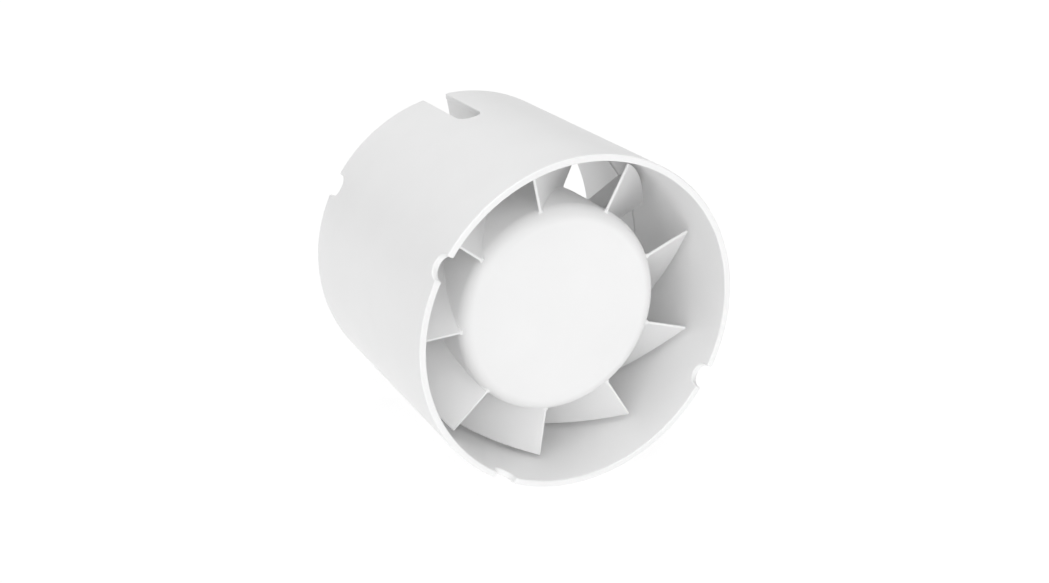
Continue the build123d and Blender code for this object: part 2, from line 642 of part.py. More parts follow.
# Cable clamp: bar with a tongue that presses the cable against the trough floor

with BuildPart() as cable_clamp:
    with BuildSketch(trough_view(TROUGH_LOW_REAR)):
        with Locations((0, CLAMP_RADIUS)):
            RectangleRounded(2 * (CLAMP_SCREW_OFFSET + CLAMP_END), CLAMP_WIDTH, CLAMP_CORNER)
    extrude(amount=-CLAMP_THICKNESS)
    tongue_front = TROUGH_FRONT + TROUGH_FLOOR + CABLE_DIAMETER + RUNNING_GAP
    tongue_low = CLAMP_RADIUS - TONGUE_HALF_HEIGHT
    tongue_high = CLAMP_RADIUS + TONGUE_HALF_HEIGHT
    trough_block(TROUGH_HALF_WIDTH - TONGUE_SIDE_GAP, tongue_low, tongue_high, tongue_front, TROUGH_LOW_REAR)
    with BuildSketch(trough_view(TROUGH_LOW_REAR - 1)):
        with Locations((CLAMP_SCREW_OFFSET, CLAMP_RADIUS), (-CLAMP_SCREW_OFFSET, CLAMP_RADIUS)):
            Circle(CLAMP_SCREW_HOLE)
    extrude(amount=-5, mode=Mode.SUBTRACT)
save(cable_clamp.part, "cable_clamp")

with BuildPart() as clamp_screws:
    for side in (-1, 1):
        turn = radians(CABLE_ANGLE)
        across = side * CLAMP_SCREW_OFFSET
        screw_x = across * cos(turn) + CLAMP_RADIUS * sin(turn)
        screw_z = CLAMP_RADIUS * cos(turn) - across * sin(turn)
        head_seat = TROUGH_LOW_REAR + CLAMP_THICKNESS
        pan_screw(TROUGH_LOW_REAR - CLAMP_SCREW_LENGTH, head_seat, *CLAMP_SCREW_SIZE, (screw_x, screw_z))
save(clamp_screws.part, "clamp_screws")

# Terminal block with brass cages and screws

pole_positions = (-POLE_SPACING / 2, POLE_SPACING / 2)
screw_heights = (TERMINAL_BLOCK_LOW + TERMINAL_SCREW_INSET, TERMINAL_BLOCK_HIGH - TERMINAL_SCREW_INSET)
block_height = TERMINAL_BLOCK_HIGH - TERMINAL_BLOCK_LOW

with BuildPart() as terminal_block:
    block(
        (-TERMINAL_BLOCK_WIDTH / 2, TERMINAL_BLOCK_FRONT, TERMINAL_BLOCK_LOW),
        (TERMINAL_BLOCK_WIDTH / 2, TERMINAL_BLOCK_REAR, TERMINAL_BLOCK_HIGH),
    )
    for pole in pole_positions:
        with BuildSketch(Plane.XY.offset(TERMINAL_BLOCK_LOW)):
            with Locations((pole, CAGE_DEPTH)):
                Circle(CAGE_POCKET)
        extrude(amount=block_height, mode=Mode.SUBTRACT)
        for height in screw_heights:
            disc(CAGE_DEPTH, 10, TERMINAL_SCREW_WELL, centre=(pole, height), mode=Mode.SUBTRACT)
    disc(TERMINAL_BLOCK_FRONT - 1, 14, BLOCK_SCREW_HOLE, centre=(0, block_middle), mode=Mode.SUBTRACT)
save(terminal_block.part, "terminal_block")

with BuildPart() as terminal_cages:
    for pole in pole_positions:
        with BuildSketch(Plane.XY.offset(TERMINAL_BLOCK_LOW + CAGE_INSET)):
            with Locations((pole, CAGE_DEPTH)):
                Circle(CAGE_RADIUS)
                Circle(CAGE_BORE, mode=Mode.SUBTRACT)
        extrude(amount=block_height - 2 * CAGE_INSET)
        for height in screw_heights:
            disc(CAGE_DEPTH, 5, CAGE_THREAD, centre=(pole, height), mode=Mode.SUBTRACT)
save(terminal_cages.part, "terminal_cages")

with BuildPart() as terminal_screws:
    for pole in pole_positions:
        for height in screw_heights:
            screw_front = CAGE_DEPTH + TERMINAL_SCREW_START
            disc(screw_front, TERMINAL_SCREW_LENGTH, TERMINAL_SCREW_RADIUS, centre=(pole, height))
            with BuildSketch(front_view(screw_front + TERMINAL_SCREW_LENGTH)):
                with Locations((pole, height)):
                    Rectangle(SCREW_SLOT_LENGTH, SCREW_SLOT_WIDTH)
            extrude(amount=SCREW_SLOT_DEPTH, mode=Mode.SUBTRACT)
save(terminal_screws.part, "terminal_screws")

with BuildPart() as terminal_block_screw:
    screw_tip = TERMINAL_BLOCK_FRONT - BLOCK_SCREW_LENGTH
    pan_screw(screw_tip, TERMINAL_BLOCK_REAR, *BLOCK_SCREW_SIZE, (0, block_middle))
save(terminal_block_screw.part, "terminal_block_screw")

# Thermal fuse on the coil, and the two leads from the coil to the terminal block


def wire(points, radii, wire_radius, name):
    """Round lead swept along straight runs joined by arcs."""
    with BuildPart() as lead:
        with BuildLine():
            path = FilletPolyline(*points, radius=radii)
        with BuildSketch(Plane(origin=path @ 0, z_dir=path % 0)):
            Circle(wire_radius)
        sweep()
    save(lead.part, name)


with BuildPart() as thermal_fuse:
    with BuildSketch(Plane.YZ.offset(-FUSE_LENGTH / 2)):
        with Locations((FUSE_DEPTH, LEG_CENTRE)):
            Circle(FUSE_RADIUS)
    extrude(amount=FUSE_LENGTH)
    chamfer(thermal_fuse.edges().filter_by(GeomType.CIRCLE), FUSE_CHAMFER)
save(thermal_fuse.part, "thermal_fuse")

LEAD_SIDE = 17.2
wire(
    [
        (-FUSE_LENGTH / 2, FUSE_DEPTH, LEG_CENTRE),
        (-11.5, FUSE_DEPTH, LEG_CENTRE),
        (-LEAD_SIDE, CAGE_DEPTH, -14.0),
        (-LEAD_SIDE, CAGE_DEPTH, LEAD_TOP),
        (-POLE_SPACING / 2, CAGE_DEPTH, LEAD_TOP),
        (-POLE_SPACING / 2, CAGE_DEPTH, TERMINAL_BLOCK_LOW + LEAD_ENTRY),
    ],
    [4.0, 4.0, 4.0, 1.8],
    LEAD_RADIUS,
    "live_lead",
)
wire(
    [
        (6.4, core_middle + barrel_y + WINDING_DEPTH + TAPE_THICKNESS, -14.5),
        (6.4, 26.8, -14.5),
        (12.0, 26.8, -14.5),
        (LEAD_SIDE, CAGE_DEPTH, -10.0),
        (LEAD_SIDE, CAGE_DEPTH, LEAD_TOP),
        (POLE_SPACING / 2, CAGE_DEPTH, LEAD_TOP),
        (POLE_SPACING / 2, CAGE_DEPTH, TERMINAL_BLOCK_LOW + LEAD_ENTRY),
    ],
    [1.6, 3.0, 4.0, 4.0, 1.8],
    LEAD_RADIUS,
    "neutral_lead",
)
wire(
    [
        (FUSE_LENGTH / 2, FUSE_DEPTH, LEG_CENTRE),
        (FUSE_LENGTH / 2 + FUSE_LINK_REACH, FUSE_DEPTH, LEG_CENTRE),
        (FUSE_LENGTH / 2 + FUSE_LINK_REACH, core_middle + barrel_y + WINDING_DEPTH + TAPE_THICKNESS, LEG_CENTRE),
    ],
    [0.8],
    0.35,
    "fuse_link",
)
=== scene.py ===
"""Looks of the in-line extractor fan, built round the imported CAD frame.  Metres; duct axis along +Y."""

import json
import math

import bmesh
import bpy
from mathutils import Matrix, Vector


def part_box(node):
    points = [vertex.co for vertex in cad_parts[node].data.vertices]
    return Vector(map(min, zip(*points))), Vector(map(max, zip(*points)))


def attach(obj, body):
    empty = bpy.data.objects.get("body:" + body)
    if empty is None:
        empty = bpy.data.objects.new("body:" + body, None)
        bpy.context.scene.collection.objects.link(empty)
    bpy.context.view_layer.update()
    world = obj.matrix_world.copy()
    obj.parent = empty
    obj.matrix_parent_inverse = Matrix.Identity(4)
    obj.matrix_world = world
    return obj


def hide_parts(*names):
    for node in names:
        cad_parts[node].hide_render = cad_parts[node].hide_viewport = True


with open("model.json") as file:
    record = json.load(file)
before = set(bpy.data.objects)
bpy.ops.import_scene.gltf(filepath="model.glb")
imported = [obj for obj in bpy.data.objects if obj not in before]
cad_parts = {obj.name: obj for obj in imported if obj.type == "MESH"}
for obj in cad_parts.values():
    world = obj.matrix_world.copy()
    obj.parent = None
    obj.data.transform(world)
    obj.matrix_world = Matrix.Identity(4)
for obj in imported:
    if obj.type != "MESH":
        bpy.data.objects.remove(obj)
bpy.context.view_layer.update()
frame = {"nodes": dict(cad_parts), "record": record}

MM = 0.001


# ---------------------------------------------------------------- driving sizes, read from the frame

tube_low, tube_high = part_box("casing")
FRONT_RIM = tube_low.y
REAR_RIM = tube_high.y
TUBE_RADIUS = tube_high.x
WALL = 2.0 * MM
TUBE_BORE = TUBE_RADIUS - WALL
FLOOR_LEVEL = tube_low.z


# ---------------------------------------------------------------- camera, light and floor

LENS = 45.68
SENSOR_WIDTH = 36.0
CLIP_START = 0.01
CAMERA_PLACE = (-0.17105, -0.34035, 0.1495)
CAMERA_RIGHT = (0.89091, -0.45412, 0.0)
CAMERA_UP = (0.16984, 0.33324, 0.9274)


def add_camera():
    """Camera at the photograph's angle: in front, to the left and above."""
    data = bpy.data.cameras.new("camera")
    data.lens = LENS
    data.sensor_width = SENSOR_WIDTH
    data.clip_start = CLIP_START
    camera = bpy.data.objects.new("camera", data)
    bpy.context.scene.collection.objects.link(camera)
    right = Vector(CAMERA_RIGHT)
    up = Vector(CAMERA_UP)
    back = right.cross(up)
    turn = Matrix((right, up, back)).transposed()
    camera.matrix_world = Matrix.Translation(CAMERA_PLACE) @ turn.to_4x4()
    bpy.context.scene.camera = camera


def sun_light(name, towards, strength, spread):
    """Soft distant light; towards points from the object to the light."""
    data = bpy.data.lights.new(name, "SUN")
    data.energy = strength
    data.angle = math.radians(spread)
    lamp = bpy.data.objects.new(name, data)
    bpy.context.scene.collection.objects.link(lamp)
    lamp.rotation_euler = Vector(towards).to_track_quat("Z", "Y").to_euler()


# Direction of each lamp from the object, and its strength.
LAMPS = {
    "overhead": ((0.0, 0.0, 1.0), 1.75),
    "front": ((0.0, -1.0, 0.1), 0.75),
    "left_front": ((-0.7, -0.7, 0.1), 0.75),
    "key": ((-0.42, -0.83, 0.37), 0.5),
    "rear_fill": ((0.3, 0.85, 0.35), 0.25),
}
LAMP_SPREAD = 70
WORLD_LIGHT = 0.2
FLOOR_HALF = 4.0
PAPER_TONE = 0.2
PAPER_GLOW = 0.84


def add_lights():
    """Soft white studio: light from all round, and broad lamps above, in front, left and behind."""
    world = bpy.data.worlds.new("studio")
    world.use_nodes = True
    background = world.node_tree.nodes["Background"]
    background.inputs["Color"].default_value = (1.0, 1.0, 1.0, 1.0)
    background.inputs["Strength"].default_value = WORLD_LIGHT
    bpy.context.scene.world = world
    for name, (towards, strength) in LAMPS.items():
        sun_light(name, towards, strength, LAMP_SPREAD)
    bpy.context.scene.view_settings.view_transform = "Standard"


def add_floor():
    """Sheet of paper with a glow of its own, so that it stays white and takes only a faint shadow."""
    mesh = bpy.data.meshes.new("floor")
    half = FLOOR_HALF
    corners = [(-half, -half), (half, -half), (half, half), (-half, half)]
    mesh.from_pydata([(x, y, FLOOR_LEVEL) for x, y in corners], [], [(0, 1, 2, 3)])
    floor = bpy.data.objects.new("floor", mesh)
    bpy.context.scene.collection.objects.link(floor)
    paper = Finish("floor_paper", Roughness=0.9, Specular_IOR_Level=0.1, Emission_Strength=PAPER_GLOW)
    paper.shader.inputs["Base Color"].default_value = (PAPER_TONE, PAPER_TONE, PAPER_TONE, 1)
    paper.shader.inputs["Emission Color"].default_value = (1, 1, 1, 1)
    mesh.materials.append(paper.material)


# ---------------------------------------------------------------- materials

# A wave texture of scale 1 repeats every so many metres.
WAVE_PERIOD = math.pi / 10


class Finish:
    """Material under construction: one shader, fed by noise and bands in object space."""

    def __init__(self, name, **values):
        self.material = bpy.data.materials.new(name)
        self.material.use_nodes = True
        self.nodes = self.material.node_tree.nodes
        self.link = self.material.node_tree.links.new
        self.shader = self.nodes["Principled BSDF"]
        for socket, value in values.items():
            self.shader.inputs[socket.replace("_", " ")].default_value = value
        self.place = self.nodes.new("ShaderNodeTexCoord").outputs["Object"]
        self.normal = None

    def noise(self, scale, detail=2.0, stretch=(1, 1, 1)):
        """Noise value; scale is in features per metre, stretch squeezes it along each axis."""
        mapping = self.nodes.new("ShaderNodeMapping")
        mapping.inputs["Scale"].default_value = stretch
        self.link(self.place, mapping.inputs["Vector"])
        noise = self.nodes.new("ShaderNodeTexNoise")
        noise.inputs["Scale"].default_value = scale
        noise.inputs["Detail"].default_value = detail
        self.link(mapping.outputs["Vector"], noise.inputs["Vector"])
        return noise.outputs["Fac"]

    def bands(self, direction, period, wander=0.0):
        """Ridges across one axis, a period apart in metres."""
        wave = self.nodes.new("ShaderNodeTexWave")
        wave.bands_direction = direction
        wave.inputs["Scale"].default_value = WAVE_PERIOD / period
        wave.inputs["Distortion"].default_value = wander
        self.link(self.place, wave.inputs["Vector"])
        return wave.outputs["Fac"]

    def tone(self, value, dark, light, low=0.3, high=0.7):
        """Colour that follows a value between two tones."""
        ramp = self.nodes.new("ShaderNodeValToRGB")
        ramp.color_ramp.elements[0].position = low
        ramp.color_ramp.elements[1].position = high
        ramp.color_ramp.elements[0].color = tuple(dark) + (1,)
        ramp.color_ramp.elements[1].color = tuple(light) + (1,)
        self.link(value, ramp.inputs["Fac"])
        self.link(ramp.outputs["Color"], self.shader.inputs["Base Color"])

    def gloss(self, value, low, high):
        """Roughness that follows a value."""
        spread = self.nodes.new("ShaderNodeMapRange")
        spread.inputs["To Min"].default_value = low
        spread.inputs["To Max"].default_value = high
        self.link(value, spread.inputs["Value"])
        self.link(spread.outputs["Result"], self.shader.inputs["Roughness"])

    def bump(self, value, strength, height):
        """Fine relief, added on top of any relief already there."""
        bump = self.nodes.new("ShaderNodeBump")
        bump.inputs["Strength"].default_value = strength
        bump.inputs["Distance"].default_value = height
        self.link(value, bump.inputs["Height"])
        if self.normal:
            self.link(self.normal, bump.inputs["Normal"])
        self.normal = bump.outputs["Normal"]

    def done(self):
        """Material with its relief joined up."""
        self.link(self.normal, self.shader.inputs["Normal"])
        return self.material


def shades(colour, spread):
    """A darker and a lighter tone of one colour."""
    dark = [c * (1 - spread) for c in colour]
    light = [min(c * (1 + spread), 1.0) for c in colour]
    return dark, light


def dimmed(colour, share):
    """The same colour with only a share of its light."""
    return [c * share for c in colour]


def plastic(name, colour, roughness=0.38, spread=0.012, grain=0.03):
    """Moulded plastic: faint cloudy tone, uneven gloss, long flow waves and orange-peel grain."""
    finish = Finish(name, IOR=1.53)
    cloud = finish.noise(scale=45.0, detail=3.0)
    finish.tone(cloud, *shades(colour, spread=spread))
    finish.gloss(finish.noise(scale=160.0, detail=4.0), low=roughness - 0.05, high=roughness + 0.06)
    finish.bump(finish.noise(scale=70.0, detail=1.0), strength=0.05, height=0.2 * MM)
    finish.bump(finish.noise(scale=1500.0), strength=grain, height=0.15 * MM)
    return finish.done()


FIBRE_LIFT = 0.05


def filled_nylon(name, colour):
    """Glass-filled nylon: matt, with short pale fibres showing at the surface."""
    finish = Finish(name, IOR=1.55)
    fibres = finish.noise(scale=2600.0, detail=1.0, stretch=(1.0, 0.25, 1.0))
    dark, light = shades(colour, spread=0.2)
    finish.tone(fibres, dark, [c + FIBRE_LIFT for c in light], low=0.45, high=0.75)
    finish.gloss(fibres, low=0.5, high=0.7)
    finish.bump(fibres, strength=0.2, height=0.05 * MM)
    return finish.done()


def metal(name, colour, roughness=0.3, stretch=(1, 1, 1), scale=1800.0, relief=0.12, spread=0.08):
    """Metal with grain that runs the way it was worked; stretch under 1 draws the grain out."""
    finish = Finish(name, Metallic=1.0)
    grain = finish.noise(scale=scale, detail=4.0, stretch=stretch)
    finish.tone(finish.noise(scale=220.0, detail=3.0), *shades(colour, spread=spread))
    finish.gloss(grain, low=roughness - 0.08, high=roughness + 0.12)
    finish.bump(grain, strength=relief, height=0.04 * MM)
    return finish.done()


def laminations(name, colour):
    """Stacked sheets seen on edge: a dark line every half millimetre along the duct axis."""
    finish = Finish(name, Metallic=0.9)
    sheets = finish.bands("Y", period=0.5 * MM)
    finish.tone(sheets, dimmed(colour, share=0.35), colour, low=0.08, high=0.35)
    finish.gloss(finish.noise(scale=900.0, detail=4.0), low=0.38, high=0.62)
    finish.bump(sheets, strength=0.5, height=0.06 * MM)
    finish.bump(finish.noise(scale=2200.0), strength=0.15, height=0.03 * MM)
    return finish.done()


def wound_wire(name, colour):
    """Enamelled wire laid turn by turn across the bobbin, with painted shade in the grooves between turns.
    """
    finish = Finish(name, Metallic=1.0, Coat_Weight=0.6, Coat_Roughness=0.15)
    turns = finish.bands("X", period=0.28 * MM, wander=0.4)
    # Painted shade: the colour darkens to three tenths of itself along the grooves between turns.
    finish.tone(turns, dimmed(colour, share=0.3), colour, low=0.1, high=0.6)
    finish.gloss(finish.noise(scale=600.0), low=0.22, high=0.36)
    finish.bump(turns, strength=0.8, height=0.14 * MM)
    return finish.done()


def porous(name, colour):
    """Sintered bronze: dark pores and a thin film of oil."""
    finish = Finish(name, Metallic=0.95, Coat_Weight=0.3, Coat_Roughness=0.2)
    pores = finish.noise(scale=3200.0, detail=2.0)
    finish.tone(pores, dimmed(colour, share=0.35), colour, low=0.36, high=0.5)
    finish.gloss(pores, low=0.5, high=0.32)
    finish.bump(pores, strength=0.35, height=0.05 * MM)
    return finish.done()


def wool_felt(name, colour):
    """Pressed wool: matted fibres and a soft sheen."""
    finish = Finish(name, Roughness=0.95, Sheen_Weight=0.5, Sheen_Roughness=0.6)
    fibres = finish.noise(scale=1500.0, detail=6.0, stretch=(1.0, 0.4, 0.8))
    finish.tone(fibres, *shades(colour, spread=0.22), low=0.35, high=0.65)
    finish.bump(fibres, strength=0.9, height=0.2 * MM)
    return finish.done()


def insulation(name, colour):
    """Soft PVC over a stranded wire, which shows faintly through."""
    finish = Finish(name, IOR=1.52, Coat_Weight=0.1)
    strands = finish.noise(scale=900.0, detail=2.0, stretch=(1.0, 1.0, 0.3))
    finish.tone(strands, *shades(colour, spread=0.08))
    finish.gloss(strands, low=0.38, high=0.52)
    finish.bump(strands, strength=0.12, height=0.06 * MM)
    return finish.done()


def wrapped_tape(name, colour):
    """Polyester tape wound over the coil, its lapped edges showing as low steps."""
    finish = Finish(name, IOR=1.6, Coat_Weight=0.4, Coat_Roughness=0.12)
    laps = finish.bands("X", period=5.5 * MM, wander=0.6)
    finish.tone(laps, *shades(colour, spread=0.07), low=0.1, high=0.9)
    finish.gloss(finish.noise(scale=300.0), low=0.22, high=0.34)
    finish.bump(laps, strength=0.3, height=0.1 * MM)
    finish.bump(finish.noise(scale=500.0), strength=0.15, height=0.08 * MM)
    return finish.done()


CASING_WHITE = (0.89, 0.89, 0.89)
IMPELLER_WHITE = (0.88, 0.88, 0.88)

MATERIALS = {
    "casing_plastic": plastic("casing_plastic", CASING_WHITE),
    "impeller_plastic": plastic("impeller_plastic", IMPELLER_WHITE, roughness=0.36),
    "plated_steel": metal("plated_steel", (0.70, 0.71, 0.70), roughness=0.26, scale=1200.0),
    "spring_steel": metal("spring_steel", (0.20, 0.22, 0.27), roughness=0.3, stretch=(1.0, 0.2, 1.0)),
    "ground_steel": metal("ground_steel", (0.66, 0.67, 0.68), roughness=0.2, stretch=(0.2, 1.0, 0.2)),
    "lamination_steel": laminations("lamination_steel", (0.36, 0.36, 0.38)),
    "cast_aluminium": metal("cast_aluminium", (0.72, 0.72, 0.73), roughness=0.42, scale=900.0, relief=0.3),
    "washer_plastic": plastic("washer_plastic", (0.76, 0.73, 0.62), roughness=0.45, spread=0.03),
    "copper": metal("copper_bar", (0.80, 0.42, 0.27), roughness=0.28, scale=1000.0),
    "bobbin_plastic": filled_nylon("bobbin_plastic", (0.035, 0.035, 0.04)),
    "coil_tape": wrapped_tape("coil_tape", (0.78, 0.58, 0.10)),
    "fuse_case": plastic("fuse_case", (0.62, 0.56, 0.45), roughness=0.4, spread=0.05),
    "tinned_wire": metal("tinned_wire", (0.74, 0.74, 0.75), roughness=0.24),
    "live_insulation": insulation("live_insulation", (0.16, 0.06, 0.03)),
    "neutral_insulation": insulation("neutral_insulation", (0.03, 0.10, 0.42)),
    "die_cast_zinc": metal("die_cast_zinc", (0.55, 0.56, 0.58), roughness=0.4, scale=700.0, relief=0.35),
    "sintered_bronze": porous("sintered_bronze", (0.58, 0.40, 0.20)),
    "felt": wool_felt("felt", (0.74, 0.69, 0.57)),
    "terminal_plastic": plastic("terminal_plastic", (0.80, 0.77, 0.67), roughness=0.46, spread=0.02),
    "terminal_brass": metal("terminal_brass", (0.76, 0.57, 0.24), roughness=0.24, stretch=(1.0, 1.0, 0.2)),
}

# A node may differ from the rest of its slot where the same stuff is worked another way.
WOUND_NODES = {"coil_winding": wound_wire("copper_winding", (0.72, 0.30, 0.14))}


# ---------------------------------------------------------------- mesh helpers

ROUND_STEPS = 3
FILLET_STEPS = 4


def add_piece(name, mesh, body, slot, replaced):
    """Mesh object that rides on a body and stands for CAD nodes."""
    piece = bpy.data.objects.new(name, mesh)
    bpy.context.scene.collection.objects.link(piece)
    mesh.materials.append(MATERIALS[slot])
    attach(piece, body)
    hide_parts(*replaced)
    return piece


def smooth_mesh(name, shells):
    """Mesh of closed shells, all their normals turned outwards, shaded smooth."""
    bmesh.ops.recalc_face_normals(shells, faces=shells.faces)
    mesh = bpy.data.meshes.new(name)
    shells.to_mesh(mesh)
    shells.free()
    mesh.shade_smooth()
    return mesh


FLAT_WEIGHT = 60


def keep_flats(piece):
    """Shading normals that lean on the larger faces, so that flats look flat."""
    piece.modifiers.new("flat_faces", "WEIGHTED_NORMAL").weight = FLAT_WEIGHT


def around(radius, angle, depth):
    """Point at a radius and a clock angle in radians, seen from the front, at a depth along the duct."""
    return Vector((radius * math.sin(angle), depth, radius * math.cos(angle)))


def bevel_edges(shells, vertices, radius):
    """Round every edge that meets the given vertices."""
    edges = list({edge for vertex in vertices for edge in vertex.link_edges})
    bmesh.ops.bevel(shells, geom=edges, offset=radius, segments=ROUND_STEPS, profile=0.5, affect="EDGES")


def rounded_block(shells, low, high, angle, radius):
    """Block between two corners given as (across, depth, outwards), turned to a clock angle."""
    size = [h - l for l, h in zip(low, high)]
    middle = [(h + l) / 2 for l, h in zip(low, high)]
    place = Matrix.Rotation(angle, 4, "Y") @ Matrix.Translation(middle) @ Matrix.Diagonal(size + [1.0])
    corners = bmesh.ops.create_cube(shells, size=1.0, matrix=place)["verts"]
    bevel_edges(shells, corners, radius)


def revolve(shells, loop, centre=(0.0, 0.0), segments=128):
    """Closed ring swept from a loop of (radius, depth) points about a line along the duct."""
    rows = []
    for radius, depth in loop:
        row = []
        for i in range(segments):
            point = around(radius, 2 * math.pi * i / segments, depth)
            row.append(shells.verts.new((point.x + centre[0], point.y, point.z + centre[1])))
        rows.append(row)
    for k, row in enumerate(rows):
        below = rows[k - 1]
        for i in range(segments):
            shells.faces.new((row[i - 1], row[i], below[i], below[i - 1]))


def arc(centre, radius, start, stop, steps):
    """Points of an arc in (radius, depth) space, angles in degrees."""
    points = []
    for i in range(steps + 1):
        turn = math.radians(start + (stop - start) * i / steps)
        points.append((centre[0] + radius * math.cos(turn), centre[1] + radius * math.sin(turn)))
    return points


def ring_loop(inner, outer, front, rear, radius):
    """Section of a ring whose four edges are rounded alike."""
    corners = (
        ((outer - radius, front + radius), -90),
        ((outer - radius, rear - radius), 0),
        ((inner + radius, rear - radius), 90),
        ((inner + radius, front + radius), 180),
    )
    loop = []
    for centre, start in corners:
        loop += arc(centre, radius, start, start + 90, ROUND_STEPS)
    return loop


class Shape:
    """Growing list of vertices, their normals and faces."""

    def __init__(self):
        self.vertices = []
        self.normals = []
        self.faces = []

    def add(self, point, normal):
        """Number of a new vertex."""
        self.vertices.append(point)
        self.normals.append(normal)
        return len(self.vertices) - 1

    def strip(self, first, second, closed=True, flip=False):
        """Quads between two rows of vertex numbers."""
        count = len(first)
        for i in range(count if closed else count - 1):
            j = (i + 1) % count
            quad = (first[i], first[j], second[j], second[i])
            self.faces.append(quad[::-1] if flip else quad)

    def facing(self, corners):
        """Twice the signed area on the unrolled wall of a triangle of (vertex number, place) pairs."""
        unrolled = [(place * TUBE_RADIUS, self.vertices[number].y) for number, place in corners]
        (s0, y0), (s1, y1), (s2, y2) = unrolled
        return (s1 - s0) * (y2 - y0) - (y1 - y0) * (s2 - s0)

    def zip_rows(self, rim, ring, rim_places, ring_places, flip=False):
        """Triangles from a notched rim row to a plain ring, none of them folded over an opening."""
        inwards = math.copysign(1, self.vertices[ring[0]].y - self.vertices[rim[0]].y)
        rim_row = list(zip(rim + rim[:1], rim_places + [rim_places[0] + 2 * math.pi]))
        ring_row = list(zip(ring + ring[:1], ring_places + [ring_places[0] + 2 * math.pi]))
        a = b = 0
        while a < len(rim) or b < len(ring):
            steps = []
            if a < len(rim):
                steps.append((rim_row[a], rim_row[a + 1], ring_row[b]))
            if b < len(ring):
                steps.append((rim_row[a], ring_row[b + 1], ring_row[b]))
            sound = [corners for corners in steps if self.facing(corners) * inwards > 0] or steps
            chosen = min(sound, key=lambda corners: corners[1][1])
            if a < len(rim) and chosen[1] == rim_row[a + 1]:
                a += 1
            else:
                b += 1
            face = tuple(number for number, _ in chosen)
            self.faces.append(face[::-1] if flip else face)


# ---------------------------------------------------------------- casing tube

NOTCH_ANGLES = (120.4, 210.4, 300.4)
NOTCH_WIDTH = 7.0 * MM
FRONT_NOTCH_DEPTH = 4.4 * MM
REAR_NOTCH_DEPTH = 5.6 * MM
CABLE_ANGLE = 350.2
TURN_TO_CABLE = Matrix.Rotation(math.radians(CABLE_ANGLE), 3, "Y")
SLOT_WIDTH = 7.4 * MM
SLOT_LENGTH = 29.0 * MM
PARTING_DEPTH = FRONT_RIM + 51.0 * MM
PARTING_BEAD = 0.25 * MM
PARTING_WIDTH = 0.6 * MM
SEAM_ANGLE = 90.0
BEAD_STEPS = 8
BEAD_SLOPE = 0.8
EDGE_ROUND = 0.45 * MM
EDGE_STEPS = 5
MOUTH_ROUND = 0.6 * MM
MOUTH_STEPS = 5
NOTCH_STEPS = 24
WALL_STEP = math.radians(1.5)
# Plain rings on the wall, in millimetres from the front rim.
RING_DEPTHS = (6, 13, 20, 28, 36, 44)
SLOT_CLEARANCE = 1.5 * MM


def notch_points(centre, width, depth):
    """U-shaped notch: rounded mouth, straight walls and a round bottom, as (way round, depth) pairs."""
    half = width / 2
    mouth = half + MOUTH_ROUND
    points = arc((-mouth, MOUTH_ROUND), MOUTH_ROUND, -90, 0, MOUTH_STEPS)
    points += arc((0, depth - half), half, 180, 0, NOTCH_STEPS)
    points += arc((mouth, MOUTH_ROUND), MOUTH_ROUND, 180, 270, MOUTH_STEPS)
    return [(centre + s / TUBE_RADIUS, y) for s, y in points]


def rim_outline(notches):
    """Whole rim from the seam round to the seam: angles in radians and depths into the tube."""
    outline = []
    angle = math.radians(SEAM_ANGLE)
    end = angle + 2 * math.pi
    for centre, width, depth in sorted(notches):
        points = notch_points(centre, width, depth)
        gap = points[0][0] - angle
        count = max(1, round(gap / WALL_STEP))
        outline += [(angle + gap * i / count, 0.0) for i in range(count)]
        outline += points
        angle = points[-1][0]
        outline.pop()
    gap = end - angle
    count = round(gap / WALL_STEP)
    outline += [(angle + gap * i / count, 0.0) for i in range(count)]
    return outline


def outline_normals(outline):
    """Unit normals into the wall, in (way round, depth) space, from the neighbours of each point."""
    normals = []
    count = len(outline)
    for i in range(count):
        s0, y0 = outline[i - 1]
        s1, y1 = outline[(i + 1) % count]
        run = ((s1 - s0) % (2 * math.pi)) * TUBE_RADIUS
        rise = y1 - y0
        length = math.hypot(run, rise)
        normals.append((-rise / length, run / length))
    return normals


def lip_section():
    """Wall edge from the outer face round to the bore: inset, radius, and outward and edgeward facing."""
    outer_half = []
    for i in range(EDGE_STEPS + 1):
        turn = math.radians(90 * i / EDGE_STEPS)
        inset = EDGE_ROUND * (1 - math.sin(turn))
        drop = EDGE_ROUND * (1 - math.cos(turn))
        outer_half.append((inset, TUBE_RADIUS - drop, math.cos(turn), math.sin(turn)))
    bore_half = []
    for inset, radius, out, edge in reversed(outer_half):
        bore_half.append((inset, TUBE_BORE + TUBE_RADIUS - radius, -out, edge))
    return outer_half + bore_half


def add_lip(shape, end, outline):
    """Rounded wall edge along one notched rim; returns its outer and inner rows and their places."""
    rim = FRONT_RIM if end < 0 else REAR_RIM
    facings = outline_normals(outline)
    rows = []
    for inset, radius, out, edge in lip_section():
        row = []
        for (s, y), (ns, ny) in zip(outline, facings):
            angle = s + ns * inset / TUBE_RADIUS
            depth = rim - end * (y + ny * inset)
            tangent = Vector((math.cos(angle), 0, -math.sin(angle)))
            radial = Vector((math.sin(angle), 0, math.cos(angle)))
            normal = radial * out - (tangent * ns + Vector((0, -end * ny, 0))) * edge
            row.append(shape.add(around(radius, angle, depth), normal))
        rows.append(row)
    for first, second in zip(rows, rows[1:]):
        shape.strip(first, second, flip=end < 0)
    places = [s + ns * EDGE_ROUND / TUBE_RADIUS for (s, _), (ns, _) in zip(outline, facings)]
    return rows[0], rows[-1], places


